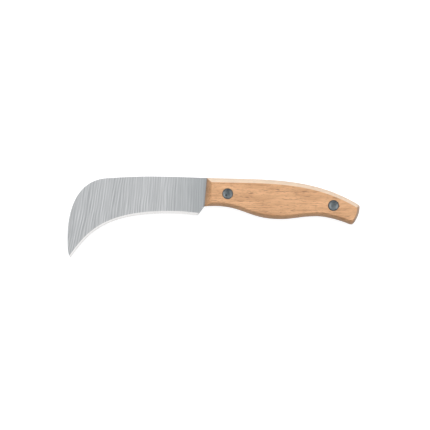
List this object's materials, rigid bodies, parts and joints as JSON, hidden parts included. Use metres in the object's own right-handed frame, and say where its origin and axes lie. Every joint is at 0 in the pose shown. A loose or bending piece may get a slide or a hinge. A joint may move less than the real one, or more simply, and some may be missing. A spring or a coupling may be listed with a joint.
{
  "type": "hawkbill knife",
  "caption": "Hooked paring knife: a one-piece steel blade and full tang, its edge on the inside of the curve, between riveted wooden scales.",
  "frame": {"origin": "middle of the grip, half way along the handle and half way between its top and bottom, on the outer face of the scale that the knife lies on", "axes": "+X along the knife towards the butt, so the hooked end is at -X; +Y towards the spine, so the cutting edge is at -Y; +Z square to the blade's side, up when the knife lies on its right-hand scale"},
  "size_m": [0.2002, 0.0557, 0.0156],
  "materials": {
    "blade_steel": "ground across its width, with a bright polished bevel along the cutting edge",
    "scale_wood": "light hardwood with its grain along the handle, sealed with a thin satin lacquer",
    "rivet_steel": "dull grey, with a brighter worn rim"
  },
  "bodies": {
    "root": {"blade": "blade_steel", "scale_right": "scale_wood", "scale_left": "scale_wood", "front_rivet_tube": "rivet_steel", "front_rivet_pin": "rivet_steel", "rear_rivet_tube": "rivet_steel", "rear_rivet_pin": "rivet_steel"}
  },
  "joints": []
}
